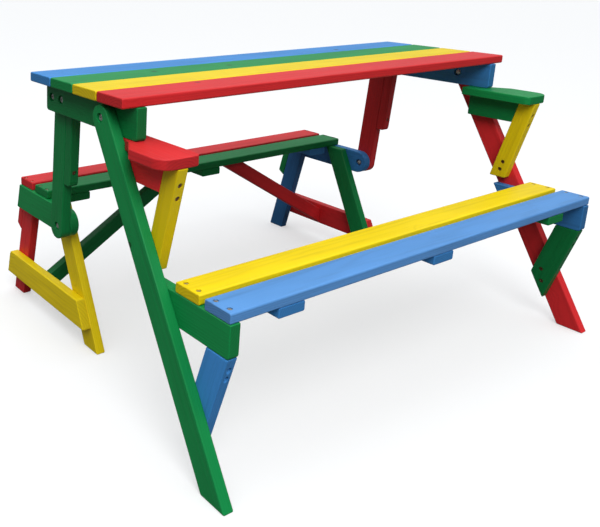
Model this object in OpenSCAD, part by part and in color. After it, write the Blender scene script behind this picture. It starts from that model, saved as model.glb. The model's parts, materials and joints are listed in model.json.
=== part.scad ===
// Child's picnic table that folds into a bench: a slatted top hinged to two slatted seats.
// X runs along the table, the front bench with the armrests faces -Y, and Z = 0 is the floor.
// Side outlines are drawn as [forward, up], with forward measured from the front pivots.

/* [Boards] */
// Thickness of the side boards
board_t = 18; // [15:1:22]
// Thickness of the planks, battens and armrests
plank_t = 16; // [13:1:20]
// Width of the seat rails, stretchers and table aprons
rail_w = 50; // [44:1:58]
// Width of the legs, braces, uprights and arm supports
leg_w = 40; // [36:1:46]
// Width of the armrest posts and the diagonals
strip_w = 30; // [26:1:34]
// Radius of the rounded plank edges
edge_r = 3; // [1:0.5:5]
// Side play between boards that turn past each other
play = 0.5; // [0.3:0.1:1]

/* [Table top] */
// Length of the table top
table_len = 950; // [840:10:1300]
// Overhang of the table top outside the front legs
table_over = 6.5; // [2:0.5:30]
// Height of the table top above the floor
table_h = 510; // [500:5:540]
// Width of one table plank
table_plank_w = 67; // [60:1:72]
// Gap between the table planks
table_gap = 2; // [1:0.5:4]
// Distance from the front pivots to the front edge of the table
table_front = 67; // [62:1:80]
// Distance from the table's rear edge to the rear end of the aprons
apron_inset = 12; // [4:1:20]
// Lean of the uprights, foot to the rear
upright_lean = 3.8; // [2:0.2:6]
// Width of the block on the front edge of each upright
block_w = 20; // [18:1:24]
// Height of the lower end of that block above the floor
block_end_h = 313; // [290:1:360]

/* [Front bench] */
// Height of the front seat
front_seat_h = 270; // [262:1:276]
// Width of one seat plank
seat_plank_w = 50; // [44:1:54]
// Gap between the two planks of a seat
seat_gap = 10; // [6:1:14]
// Distance from the front pivots to the rear edge of the front seat
front_seat_at = 168; // [166:1:176]
// Lean of the front legs, foot to the front
front_lean = 31.1; // [30:0.1:32]
// Lean of the short braces under the front seat
brace_lean = 15.9; // [14:0.1:18]
// Lean of the armrest posts
post_lean = 13.4; // [12:0.1:15]

/* [Armrests] */
// Distance from the front pivots to the front edge of the armrests
arm_front = 165; // [158:1:172]
// Distance from the front pivots to the rear end of the armrests
arm_rear = 28; // [25:1:32]
// Width of the armrests
arm_w = 70; // [64:1:76]
// Overhang of the armrests outside the front legs
arm_over = 11; // [6:1:14]
// Distance from the front pivots to the rear end of the arm supports
arm_support_at = 33; // [30:1:40]
// Width of the arm supports
arm_support_w = 43; // [40:1:46]
// Gap between the lower end of the posts and the front rails
post_gap = 15; // [8:1:20]

/* [Rear bench] */
// How much lower the rear seat is, so that its rails slide under the front seat
seat_step = 1; // [1:0.5:5]
// Distance of the ends of the rear seat planks from the rails' outer faces
plank_inset = 3.5; // [1:0.5:8]
// Distance from the front pivots back to the rear pivots
pivot_back = 192; // [186:1:196]
// Distance from the front pivots back to the rear edge of the rear seat
rear_seat_back = 375; // [370:1:384]
// Distance from the front pivots back to the rear edge of the rear feet
rear_foot_back = 438; // [434:1:450]
// Lean of the rear legs, foot to the rear
rear_lean = 12.8; // [11:0.1:14]
// Distance from the front pivots back to the front edge of the front feet of the rear bench
mid_foot_back = 108; // [100:1:114]
// Lean of the front legs of the rear bench, foot to the front
mid_lean = 26.0; // [24:0.1:27]
// Height of the lower edge of the stretchers
stretcher_h = 43; // [34:1:56]
// Height of the upper end of the blocks behind the rear legs
block_top_h = 208; // [196:1:212]
// Length of the blocks behind the rear legs
leg_block_len = 66; // [45:1:72]
// Height of the diagonals' centre line at the stretchers
diagonal_h = 64; // [62:1:70]
// Distance from the middle of the seat to the diagonals' upper ends
diagonal_top_x = 73; // [62:1:120]
// Distance from the front pivots back to the middle of the diagonals
diagonal_back = 300; // [290:1:304]

/* [Battens] */
// Width of the seat battens
batten_w = 50; // [40:1:60]
// Gap between the outer battens and the legs of the rear bench
batten_gap = 14.5; // [2:0.5:60]
// Distance of the battens from the front and rear edge of a seat
batten_inset = 1; // [0:1:10]

/* [Bolts and screws] */
// Diameter of the bolts
bolt_d = 6; // [5:0.5:7]
// Diameter of the bolt heads
bolt_head_d = 12; // [11:0.5:13]
// Height of the bolt heads
bolt_head_h = 3.5; // [3:0.1:4]
// Width of the nuts across the flats
nut_w = 10; // [9:0.5:10.5]
// Height of the nuts
nut_h = 5; // [4:0.5:5.5]
// Diameter of the recesses for bolt heads and nuts
recess_d = 15; // [14:0.5:16]
// Depth of the recesses for bolt heads
head_recess = 5; // [4.5:0.1:6]
// Depth of the recesses for nuts
nut_recess = 7; // [6.5:0.1:8]
// Diameter of the screws
screw_d = 4; // [3:0.5:4.5]
// Diameter of the screw heads
screw_head_d = 7.4; // [6:0.1:7.5]
// Height of the screw heads
screw_head_h = 2.6; // [2:0.1:3]
// Depth that the screw heads sit below the wood
screw_sink = 1; // [0.5:0.1:1.5]
// Spacing of the two screws at each end of a plank
screw_pitch = 26; // [20:1:30]
// Length of the seat screws
seat_screw_l = 36; // [28:1:50]
// Length of the screws through a post or brace into the leg
side_screw_l = 29; // [24:1:31]
// Length of the screws driven in at the front edge of the posts and braces
edge_screw_l = 52; // [50:1:54]
// Length of the screws through the upright blocks
block_screw_l = 44; // [34:1:52]
// Steepness of the screws through the braces into the rails
toe_angle = 62; // [56:1:66]

/* [Hidden] */
$fn = 48;
fit = 0.05;           // radial clearance of bolts and screws in their holes
run_gap = 0.3;        // gap between a pivot nut and the board that turns under it
seam = 0.5;           // gap between the armrests and the legs
corner_r = 6;         // small rounding of a sawn corner
apron_over = 2;       // how far the aprons reach past the front plank
rail_over = 1;        // how far the front rails reach past the seat planks
brace_back = 1;       // distance from the seat planks' front edge back to the braces
bolt_over = 1;        // distance from the end of a bolt to the inner face of the wood
tip_h = 4;            // length of a screw's point
drive_d = 3;          // width of the hexagon in the screw heads
bolt_drive_d = 4;     // width of the hexagon in the bolt heads
drive_h = 1.8;        // depth of both hexagons
head_play = 0.3;      // gap around a screw head
table_planks = 4;

// Sideways positions, outside to inside
leg_x = table_len / 2 - table_over;
front_side_x = leg_x - board_t;
apron_x = front_side_x - play;
upright_x = apron_x - board_t;
rear_side_x = upright_x - board_t - play;
rear_leg_x = rear_side_x - board_t;
rear_in_x = rear_leg_x - board_t;
batten_x = rear_in_x - batten_gap - batten_w / 2;
rear_seat_len = 2 * (rear_side_x - plank_inset);

// Heights
table_under = table_h - plank_t;
apron_under = table_under - rail_w;
pivot_h = table_under - rail_w / 2;
front_under = front_seat_h - plank_t;
front_rail_under = front_under - rail_w;
rear_seat_h = front_seat_h - seat_step;
rear_under = rear_seat_h - plank_t;
rear_rail_under = rear_under - rail_w;
rear_pivot_h = rear_under - rail_w / 2;
arm_under = apron_under - plank_t;

// Table top
table_depth = table_planks * table_plank_w + (table_planks - 1) * table_gap;
table_rear = table_front - table_depth;
apron_rear = table_rear + apron_inset;
apron_front = table_front + apron_over;

// Seats
seat_depth = 2 * seat_plank_w + seat_gap;
front_seat_end = front_seat_at + seat_depth;
front_rail_end = front_seat_end + rail_over;
rear_seat_at = -rear_seat_back;

// Edges of the slanted boards: forward position of a board's middle line at height z
function front_leg_mid(z) = (pivot_h - z) * tan(front_lean);
function brace_mid(z) =
    front_seat_end - brace_back - half_w(leg_w, brace_lean) - (front_rail_under - z) * tan(brace_lean);
function post_mid(z) = arm_front - half_w(strip_w, post_lean) - (arm_under - z) * tan(post_lean);
function rear_leg_mid(z) = -rear_foot_back + half_w(leg_w, rear_lean) + z * tan(rear_lean);
function mid_leg_mid(z) = -mid_foot_back - half_w(leg_w, mid_lean) - z * tan(mid_lean);
function half_w(w, lean) = w / 2 / cos(lean);
front_half = half_w(leg_w, front_lean);
brace_half = half_w(leg_w, brace_lean);
post_half = half_w(strip_w, post_lean);
rear_half = half_w(leg_w, rear_lean);
mid_half = half_w(leg_w, mid_lean);

// The fold ends when both benches stand level, and there the uprights meet the front seat from below
drop = pivot_h - rear_pivot_h;
fold_angle = 180 - 2 * atan(drop / pivot_back);
stop_corner = [front_seat_at + edge_r, front_under + edge_r - pivot_h];
stop_dir = 180 - upright_lean + fold_angle;
upright_front = stop_corner[0] * cos(stop_dir) + stop_corner[1] * sin(stop_dir) + edge_r + fit;
upright_end_h = rear_pivot_h - 4; // centre of the round lower ends
function upright_at(off, z) = -(upright_front + off - (z - pivot_h) * sin(upright_lean)) / cos(upright_lean);

// The floor outline is centred on the origin
front_reach = front_leg_mid(0) + front_half;
pivot_y = (front_reach - rear_foot_back) / 2;

blue = [0.22, 0.47, 0.80];
green = [0.10, 0.45, 0.25];
yellow = [0.93, 0.80, 0.15];
red = [0.80, 0.16, 0.18];
steel = [0.55, 0.56, 0.58];

// Stands a side outline up as a board between two sideways positions on the -X side
module side_board(x_out, t = board_t) {
    translate([-x_out, pivot_y, 0]) rotate([90, 0, 90]) linear_extrude(t) mirror([1, 0]) children();
}

// Puts a piece drawn on the -X side on the side asked for
module on_side(s) {
    if (s < 0) children();
    else mirror([1, 0, 0]) children();
}

// Moves children to a forward position and a height
module at(forward, h) {
    translate([0, pivot_y - forward, h]) children();
}

// Hole along X through a board, from x_out inwards
module bore(x_out, l, d) {
    translate([-x_out, 0, 0]) rotate([0, 90, 0]) cylinder(d = d, h = l);
}

// Plank along X with rounded long edges, its rear lower edge at forward = 0
module plank(l, w, r = edge_r) {
    translate([-l / 2, 0, 0]) rotate([90, 0, 90]) linear_extrude(l) union() {
        translate([-w + r, 0]) square([w - 2 * r, plank_t]);
        translate([-w, r]) square([w, plank_t - 2 * r]);
        for (y = [r - w, -r], z = [r, plank_t - r]) translate([y, z]) circle(r);
    }
}

// Hole for a screw of length l whose head sits below a face at Z = 0, pointing down
module screw_hole(l, sink = screw_sink) {
    head_end = sink + screw_head_h;
    translate([0, 0, -head_end]) cylinder(d = screw_head_d + 2 * head_play, h = head_end + sink + 1);
    translate([0, 0, -sink - l - 1]) cylinder(d = screw_d + 2 * fit, h = l);
}

// Screw in that hole
module screw(l, sink = screw_sink) {
    difference() {
        translate([0, 0, -sink]) rotate_extrude() polygon([
            [0, 0], [screw_head_d / 2 - head_play, 0], [screw_head_d / 2, -head_play],
            [screw_head_d / 2, -screw_head_h], [screw_d / 2, -screw_head_h],
            [screw_d / 2, tip_h - l], [0, -l]]);
        translate([0, 0, -sink - drive_h]) cylinder(d = drive_d, h = drive_h + 1, $fn = 6);
    }
}

// Bolt along X with a round head outwards; x_seat is where the head bears
module bolt(x_seat, x_end) {
    translate([-x_seat, 0, 0]) rotate([0, 90, 0]) difference() {
        union() {
            translate([0, 0, -bolt_head_h]) cylinder(d = bolt_head_d, h = bolt_head_h);
            cylinder(d = bolt_d, h = x_seat - x_end);
        }
        translate([0, 0, -bolt_head_h - 1]) cylinder(d = bolt_drive_d, h = drive_h + 1, $fn = 6);
    }
}

// Nut on that bolt, its outer face at x_seat
module nut(x_seat) {
    translate([-x_seat, 0, 0]) rotate([0, 90, 0]) difference() {
        cylinder(d = nut_w / cos(30), h = nut_h, $fn = 6);
        translate([0, 0, -1]) cylinder(d = bolt_d + fit, h = nut_h + 2);
    }
}

// Recess and hole for a bolt head in a board's outer face
module head_bore(x_out) {
    bore(x_out + 1, head_recess + 1, recess_d);
    bore(x_out + 1, board_t + 2, bolt_d + 2 * fit);
}

// Recess and hole for a nut in a board's inner face
module nut_bore(x_out) {
    bore(x_out - board_t + nut_recess, nut_recess + 1, recess_d);
    bore(x_out + 1, board_t + 2, bolt_d + 2 * fit);
}

// Table top
function table_plank_at(i) = table_rear + i * (table_plank_w + table_gap);

module table_plank(i) {
    at(table_plank_at(i), table_under) plank(table_len, table_plank_w);
}

module apron_outline() {
    difference() {
        translate([apron_rear, apron_under]) square([apron_front - apron_rear, rail_w]);
        for (c = [[apron_rear, 1], [apron_front, -1]])
            translate([c[0], apron_under]) corner_cut(c[1]);
    }
}

// Cuts a lower corner round; dir is 1 for a left corner and -1 for a right corner
module corner_cut(dir) {
    mirror([dir < 0 ? 1 : 0, 0]) difference() {
        translate([-1, -1]) square(corner_r + 1);
        translate([corner_r, corner_r]) circle(corner_r);
    }
}

apron_bolt_f = [upright_at(leg_w / 2, pivot_h), upright_at(-block_w / 2, pivot_h)];

module apron(s) {
    on_side(s) difference() {
        side_board(apron_x) apron_outline();
        at(0, pivot_h) nut_bore(apron_x);
        for (f = apron_bolt_f) at(f, pivot_h) head_bore(apron_x);
    }
}

// Long board of an upright, round at its lower end, cut level under the planks
module upright_outline() {
    end_r = leg_w / 2;
    end_f = upright_at(end_r, upright_end_h);
    side = end_r * [cos(upright_lean), -sin(upright_lean)];
    union() {
        polygon([
            [upright_at(0, table_under), table_under],
            [upright_at(leg_w, table_under), table_under],
            [end_f, upright_end_h] - side,
            [end_f, upright_end_h] + side]);
        translate([end_f, upright_end_h]) circle(end_r);
    }
}

block_screw_up = 25; // height of that block's screw above its lower end
block_screw_h = block_end_h + block_screw_up;

module block_screw_place() {
    at(upright_at(-block_w, block_screw_h), block_screw_h)
        translate([-(upright_x - board_t / 2), 0, 0]) rotate([90 + upright_lean, 0, 0]) children();
}

module upright(s) {
    on_side(s) difference() {
        side_board(upright_x) upright_outline();
        at(apron_bolt_f[0], pivot_h) nut_bore(upright_x);
        at(-pivot_back, rear_pivot_h) head_bore(upright_x);
        block_screw_place() screw_hole(block_screw_l);
    }
}

// Short board edge to edge with the upright, stiffening its upper part
module upright_block(s) {
    on_side(s) difference() {
        side_board(upright_x) difference() {
            polygon([
                [upright_at(-block_w, table_under), table_under],
                [upright_at(0, table_under), table_under],
                [upright_at(0, block_end_h), block_end_h],
                [upright_at(-block_w, block_end_h), block_end_h]]);
            translate([upright_at(-block_w, block_end_h), block_end_h]) corner_cut(-1);
        }
        at(apron_bolt_f[1], pivot_h) nut_bore(upright_x);
        block_screw_place() screw_hole(block_screw_l);
    }
}

// Front bench
module front_leg_outline() {
    union() {
        polygon([
            [-front_half * pow(cos(front_lean), 2), pivot_h - front_half * cos(front_lean) * sin(front_lean)],
            [front_leg_mid(0) - front_half, 0],
            [front_leg_mid(0) + front_half, 0],
            [front_half * pow(cos(front_lean), 2), pivot_h + front_half * cos(front_lean) * sin(front_lean)]]);
        translate([0, pivot_h]) circle(leg_w / 2);
    }
}

// Screws from the inner face of a post or brace into the leg, as [forward, height]
function between(a, b) = (a + b) / 2;
post_foot_h = front_under + post_gap;
post_cross_h = (front_leg_mid(0) - post_mid(0)) / (tan(front_lean) + tan(post_lean));
post_screw_h = [post_cross_h + 6, post_cross_h + 22];
brace_cross_h = (front_leg_mid(0) - brace_mid(0)) / (tan(front_lean) + tan(brace_lean));
brace_screw_h = [brace_cross_h - 12, brace_cross_h + 12];
side_screws_at = concat(
    [for (z = post_screw_h) [post_mid(z), z]],
    [for (z = brace_screw_h) [between(front_leg_mid(z), brace_mid(z)), z]]);

module side_screw_places() {
    for (p = side_screws_at)
        at(p[0], p[1]) translate([-(front_side_x - board_t), 0, 0]) rotate([0, 90, 0]) children();
}

module front_leg(s) {
    on_side(s) difference() {
        side_board(leg_x) front_leg_outline();
        at(0, pivot_h) head_bore(leg_x);
        side_screw_places() screw_hole(side_screw_l);
    }
}

module seat_screw_places(seat_at, h, x) {
    for (i = [0, 1], d = [-1, 1])
        let (f = seat_at + i * (seat_plank_w + seat_gap) + (seat_plank_w + d * screw_pitch) / 2)
            translate([-x, pivot_y - f, h]) children();
}
front_screw_x = front_side_x - board_t / 2;

module front_screw_places() {
    seat_screw_places(front_seat_at, front_seat_h, front_screw_x) children();
}

module front_rail(s) {
    on_side(s) difference() {
        side_board(front_side_x) difference() {
            polygon([
                [front_leg_mid(front_under) - front_half, front_under],
                [front_leg_mid(front_rail_under) - front_half, front_rail_under],
                [front_rail_end, front_rail_under],
                [front_rail_end, front_under]]);
            translate([front_rail_end, front_rail_under]) corner_cut(-1);
        }
        front_screw_places() screw_hole(seat_screw_l);
        toe_screw_places() screw_hole(edge_screw_l, toe_sink);
    }
}

module seat_plank(seat_at, i, l, h) {
    at(seat_at + i * (seat_plank_w + seat_gap), h - plank_t) plank(l, seat_plank_w);
}

module front_seat_plank(i) {
    difference() {
        seat_plank(front_seat_at, i, 2 * front_side_x, front_seat_h);
        for (s = [-1, 1]) on_side(s) front_screw_places() screw_hole(seat_screw_l);
    }
}

// Plank across under a seat, x is its middle
module batten(x, seat_at, under) {
    at(seat_at + seat_depth / 2, under - plank_t) translate([x - batten_w / 2, 0, 0])
        rotate([0, 0, 90]) plank(seat_depth - 2 * batten_inset, batten_w);
}

// Short brace, its upper end against the rail and its lower end cut along the leg
module brace_outline() {
    cut_in = 4;
    cut_f = front_leg_mid(0) - front_half + cut_in;
    slope = tan(front_lean) + tan(brace_lean);
    rear_z = (cut_f - brace_mid(0) + brace_half) / slope;
    front_z = (cut_f - brace_mid(0) - brace_half) / slope;
    polygon([
        [brace_mid(front_rail_under) - brace_half, front_rail_under],
        [brace_mid(front_rail_under) + brace_half, front_rail_under],
        [brace_mid(front_z) + brace_half, front_z],
        [brace_mid(rear_z) - brace_half, rear_z]]);
}

// Screws at the front edge of a brace, driven up into the rail
toe_screw_h = [front_rail_under - 20, front_rail_under - 35];
toe_sink = 5;

module toe_screw_places() {
    for (z = toe_screw_h)
        at(brace_mid(z) + brace_half, z) translate([-(front_side_x - board_t / 2), 0, 0])
            rotate([90 + toe_angle, 0, 0]) children();
}

module brace(s) {
    on_side(s) difference() {
        side_board(front_side_x) brace_outline();
        side_screw_places() screw_hole(side_screw_l);
        toe_screw_places() screw_hole(edge_screw_l, toe_sink);
    }
}

// Screws at the front edge of a post, driven into the arm support
post_edge_screw_h = [arm_under - 45, arm_under - 25];

module post_edge_screw_places() {
    for (z = post_edge_screw_h)
        at(post_mid(z) + post_half, z) translate([-(front_side_x - board_t / 2), 0, 0])
            rotate([90 + post_lean, 0, 0]) children();
}

module arm_support(s) {
    on_side(s) difference() {
        side_board(front_side_x) polygon([
            [arm_support_at, arm_under],
            [arm_support_at, arm_under - arm_support_w],
            [post_mid(arm_under - arm_support_w) - post_half, arm_under - arm_support_w],
            [post_mid(arm_under) - post_half, arm_under]]);
        post_edge_screw_places() screw_hole(edge_screw_l);
    }
}

module post(s) {
    on_side(s) difference() {
        side_board(front_side_x) polygon([
            [post_mid(arm_under) - post_half, arm_under],
            [post_mid(arm_under) + post_half, arm_under],
            [post_mid(post_foot_h) + post_half, post_foot_h],
            [post_mid(post_foot_h) - post_half, post_foot_h]]);
        side_screw_places() screw_hole(side_screw_l);
        post_edge_screw_places() screw_hole(edge_screw_l);
    }
}

// Flat armrest with a bowed front, notched round the leg; seen from above as [outward, forward]
module armrest_outline() {
    out_x = leg_x + arm_over;
    in_x = out_x - arm_w;
    leg_f = front_leg_mid(arm_under) + front_half + seam;
    notch_x = front_side_x - seam;
    outer_r = 24;
    inner_r = 12;
    rear_cut = 42;
    bow = 400;
    intersection() {
        union() {
            translate([in_x, arm_rear]) square([notch_x - in_x, arm_front - inner_r - arm_rear]);
            translate([in_x + inner_r, leg_f]) square([arm_w - inner_r - outer_r, arm_front - leg_f]);
            translate([in_x + inner_r, arm_front - inner_r]) circle(inner_r);
            translate([out_x - outer_r, arm_front - outer_r]) circle(outer_r);
            polygon([
                [in_x + inner_r, leg_f],
                [notch_x, leg_f],
                [out_x, leg_f + rear_cut],
                [out_x, arm_front - outer_r],
                [in_x + inner_r, arm_front - outer_r]]);
        }
        translate([between(in_x, out_x), arm_front - bow]) circle(bow, $fn = 180);
    }
}

module armrest(s) {
    on_side(s) translate([0, pivot_y, arm_under]) rotate([0, 0, 180]) linear_extrude(plank_t)
        armrest_outline();
}

// Rear bench
module rear_rail_outline() {
    end_back = 6;
    end_f = -pivot_back - end_back;
    union() {
        polygon([
            [rear_seat_at, rear_under],
            [rear_seat_at - rail_w * tan(rear_lean), rear_rail_under],
            [end_f, rear_rail_under],
            [end_f, rear_under]]);
        translate([end_f, rear_pivot_h]) circle(rail_w / 2);
    }
}

rear_screw_x = rear_side_x - board_t / 2;

module rear_screw_places() {
    seat_screw_places(rear_seat_at, rear_seat_h, rear_screw_x) children();
}

module rear_rail(s) {
    on_side(s) difference() {
        side_board(rear_side_x) rear_rail_outline();
        at(-pivot_back, rear_pivot_h) nut_bore(rear_side_x);
        rear_screw_places() screw_hole(seat_screw_l);
    }
}

module rear_seat_plank(i) {
    difference() {
        seat_plank(rear_seat_at, i, rear_seat_len, rear_seat_h);
        for (s = [-1, 1]) on_side(s) rear_screw_places() screw_hole(seat_screw_l);
    }
}

module slanted_leg(mid_low, mid_high, half) {
    side_board(rear_leg_x) polygon([
        [mid_low - half, 0], [mid_low + half, 0],
        [mid_high + half, rear_under], [mid_high - half, rear_under]]);
}

module rear_leg(s) {
    on_side(s) slanted_leg(rear_leg_mid(0), rear_leg_mid(rear_under), rear_half);
}

module mid_leg(s) {
    on_side(s) slanted_leg(mid_leg_mid(0), mid_leg_mid(rear_under), mid_half);
}

// Block on the rear edge of a rear leg, its lower end cut back to the leg
module leg_block(s) {
    end_cut = 7;
    along = [-sin(rear_lean), -cos(rear_lean)];
    out = [-cos(rear_lean), sin(rear_lean)] * board_t;
    a = [rear_leg_mid(block_top_h) - rear_half, block_top_h];
    on_side(s) side_board(rear_leg_x)
        polygon([a, a + out, a + out + along * (leg_block_len - end_cut), a + along * leg_block_len]);
}

// Low rail along the feet, flush with the front feet, its upper rear corner rounded
module stretcher(s) {
    rear_over = 6;
    top = stretcher_h + rail_w;
    rear_top = rear_leg_mid(top) - rear_half - rear_over;
    round_z = top - corner_r;
    on_side(s) side_board(rear_side_x) union() {
        polygon([
            [rear_leg_mid(round_z) - rear_half - rear_over, round_z],
            [rear_leg_mid(stretcher_h) - rear_half - rear_over, stretcher_h],
            [mid_leg_mid(stretcher_h) + mid_half, stretcher_h],
            [mid_leg_mid(top) + mid_half, top],
            [rear_top + corner_r, top]]);
        translate([rear_top + corner_r, round_z]) circle(corner_r);
    }
}

// Diagonal from the stretcher's inner face up to the underside of the seat
module diagonal(s) {
    low_x = -rear_leg_x;
    rise = atan((rear_under - diagonal_h) / (rear_leg_x - diagonal_top_x));
    v = strip_w / 2 / cos(rise);
    h = strip_w / 2 / sin(rise);
    on_side(s) translate([0, pivot_y + diagonal_back + board_t / 2, 0]) rotate([90, 0, 0])
        linear_extrude(board_t) polygon([
            [low_x, diagonal_h - v], [low_x, diagonal_h + v],
            [-diagonal_top_x - h, rear_under], [-diagonal_top_x + h, rear_under]]);
}

// Bolts, nuts and screws
module both_sides() {
    for (s = [-1, 1]) on_side(s) children();
}

module front_pivot_bolts() {
    both_sides() at(0, pivot_h) bolt(leg_x - head_recess, apron_x - board_t + bolt_over);
}

module front_pivot_nuts() {
    both_sides() at(0, pivot_h) nut(apron_x - board_t + nut_recess - run_gap);
}

module rear_pivot_bolts() {
    both_sides() at(-pivot_back, rear_pivot_h) bolt(upright_x - head_recess, rear_side_x - board_t + bolt_over);
}

module rear_pivot_nuts() {
    both_sides() at(-pivot_back, rear_pivot_h) nut(rear_side_x - board_t + nut_recess - run_gap);
}

module apron_bolts() {
    both_sides() for (f = apron_bolt_f) at(f, pivot_h) bolt(apron_x - head_recess, upright_x - board_t + bolt_over);
}

module apron_nuts() {
    both_sides() for (f = apron_bolt_f) at(f, pivot_h) nut(upright_x - board_t + nut_recess);
}

color(blue) table_plank(0);  // table_plank_rear
color(green) table_plank(1);  // table_plank_mid_rear
color(yellow) table_plank(2);  // table_plank_mid_front
color(red) table_plank(3);  // table_plank_front
color(green) apron(-1);  // apron_left
color(blue) apron(1);  // apron_right
color(green) upright(-1);  // upright_left
color(red) upright(1);  // upright_right
color(green) upright_block(-1);  // upright_block_left
color(red) upright_block(1);  // upright_block_right
color(steel) apron_bolts();
color(steel) apron_nuts();
color(steel) both_sides() block_screw_place() screw(block_screw_l);  // upright_block_screws

color(green) front_leg(-1);  // front_leg_left
color(red) front_leg(1);  // front_leg_right
color(green) front_rail(-1);  // front_rail_left
color(blue) front_rail(1);  // front_rail_right
color(yellow) front_seat_plank(0);  // front_seat_plank_rear
color(blue) front_seat_plank(1);  // front_seat_plank_front
color(blue) batten(-batten_x, front_seat_at, front_under);  // front_batten_left
color(blue) batten(0, front_seat_at, front_under);  // front_batten_middle
color(green) batten(batten_x, front_seat_at, front_under);  // front_batten_right
color(blue) brace(-1);  // front_brace_left
color(green) brace(1);  // front_brace_right
color(red) arm_support(-1);  // arm_support_left
color(green) arm_support(1);  // arm_support_right
color(yellow) post(-1);  // arm_post_left
color(yellow) post(1);  // arm_post_right
color(red) armrest(-1);  // armrest_left
color(green) armrest(1);  // armrest_right
color(steel) front_pivot_bolts();
color(steel) front_pivot_nuts();
color(steel) both_sides() front_screw_places() screw(seat_screw_l);  // front_seat_screws
color(steel) both_sides() side_screw_places() screw(side_screw_l);  // front_side_screws
color(steel) both_sides() {  // front_edge_screws
        post_edge_screw_places() screw(edge_screw_l);
        toe_screw_places() screw(edge_screw_l, toe_sink);
    }

color(green) rear_rail(-1);  // rear_rail_left
color(blue) rear_rail(1);  // rear_rail_right
color(red) rear_seat_plank(0);  // rear_seat_plank_rear
color(green) rear_seat_plank(1);  // rear_seat_plank_front
color(green) batten(-batten_x, rear_seat_at, rear_under);  // rear_batten_left
color(green) batten(0, rear_seat_at, rear_under);  // rear_batten_middle
color(blue) batten(batten_x, rear_seat_at, rear_under);  // rear_batten_right
color(red) rear_leg(-1);  // rear_leg_left
color(blue) rear_leg(1);  // rear_leg_right
color(yellow) mid_leg(-1);  // middle_leg_left
color(green) mid_leg(1);  // middle_leg_right
color(red) leg_block(-1);  // leg_block_left
color(green) leg_block(1);  // leg_block_right
color(yellow) stretcher(-1);  // stretcher_left
color(red) stretcher(1);  // stretcher_right
color(green) diagonal(-1);  // diagonal_left
color(red) diagonal(1);  // diagonal_right
color(steel) rear_pivot_bolts();
color(steel) rear_pivot_nuts();
color(steel) both_sides() rear_screw_places() screw(seat_screw_l);  // rear_seat_screws
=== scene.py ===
"""Looks of a convertible picnic table for children: stained softwood boards, plated bolts and screws."""
import json
import math

import bmesh
import bpy
import numpy as np
from bpy.props import FloatProperty, FloatVectorProperty, IntProperty, PointerProperty
from mathutils import Matrix, Vector


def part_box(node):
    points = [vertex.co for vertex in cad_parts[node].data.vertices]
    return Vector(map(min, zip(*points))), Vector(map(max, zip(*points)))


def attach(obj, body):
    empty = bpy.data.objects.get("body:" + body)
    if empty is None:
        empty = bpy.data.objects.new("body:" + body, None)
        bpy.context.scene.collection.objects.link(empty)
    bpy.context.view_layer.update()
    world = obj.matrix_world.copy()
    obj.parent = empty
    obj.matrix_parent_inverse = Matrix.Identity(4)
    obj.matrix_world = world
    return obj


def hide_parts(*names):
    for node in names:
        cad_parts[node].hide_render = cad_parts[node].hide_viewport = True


bl_info = {
    "name": "Picnic Table Finish",
    "version": (1, 0, 0),
    "blender": (4, 5, 0),
    "location": "View3D > Sidebar > Picnic Table",
    "description": "Stained boards, bolts, screws and a plain studio for a convertible picnic table",
    "category": "Object",
}

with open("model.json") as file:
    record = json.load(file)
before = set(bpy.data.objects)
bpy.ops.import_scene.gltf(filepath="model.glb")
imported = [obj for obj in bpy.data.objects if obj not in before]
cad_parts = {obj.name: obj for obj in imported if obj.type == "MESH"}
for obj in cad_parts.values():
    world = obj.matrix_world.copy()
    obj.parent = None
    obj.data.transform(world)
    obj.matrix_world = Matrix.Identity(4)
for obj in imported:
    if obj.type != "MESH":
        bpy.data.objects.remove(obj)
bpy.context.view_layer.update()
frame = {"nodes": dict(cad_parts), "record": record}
SLOT_OF = {part["node"]: part["material_slot"] for part in frame["record"]["subparts"]}
BODY_OF = {node: body for body, nodes in frame["record"]["behaviour"]["bodies"].items() for node in nodes}
MM = 0.001

FASTENER_SLOT = "steel"
# Boards drawn darker or brighter than the others of their colour, in shares of its brightness: partly their
# own tone, mostly painted shade on boards under the table top and seats, and painted light on
# front_leg_right and arm_support_left
TONES_AND_PAINTED_SHADE = {
    "apron_left": 0.80,
    "apron_right": 0.84,
    "arm_post_left": 0.86,
    "arm_post_right": 0.92,
    "arm_support_left": 1.35,
    "arm_support_right": 0.74,
    "diagonal_left": 0.52,
    "front_brace_right": 0.68,
    "front_leg_right": 1.20,
    "front_rail_right": 0.75,
    "front_seat_plank_rear": 1.06,
    "middle_leg_right": 0.74,
    "rear_leg_right": 0.54,
    "rear_rail_right": 0.76,
    "rear_seat_plank_front": 0.86,
    "rear_seat_plank_rear": 1.06,
    "table_plank_front": 0.95,
    "table_plank_mid_front": 0.94,
    "upright_block_left": 0.72,
    "upright_left": 0.76,
}
# Boards with a pale grey mixed into their stain, and how much: a painted reflection of the bright sky on
# their tops
PAINTED_REFLECTION = {"front_seat_plank_front": 0.06}
# The grey of that painted reflection
REFLECTION_GREY = 0.95

# Points nearer than FLAT to a plane lie in it. Faces at more than SHARP to each other meet at an edge.
# Points nearer than SAME are one point, and the closed ends of turned shapes have this radius.
FLAT = 0.003 * MM
SHARP = math.radians(25.0)
SAME = 0.01 * MM
# Faces of a fastener at more than this to each other meet at an edge
CREASE = math.radians(35.0)


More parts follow.
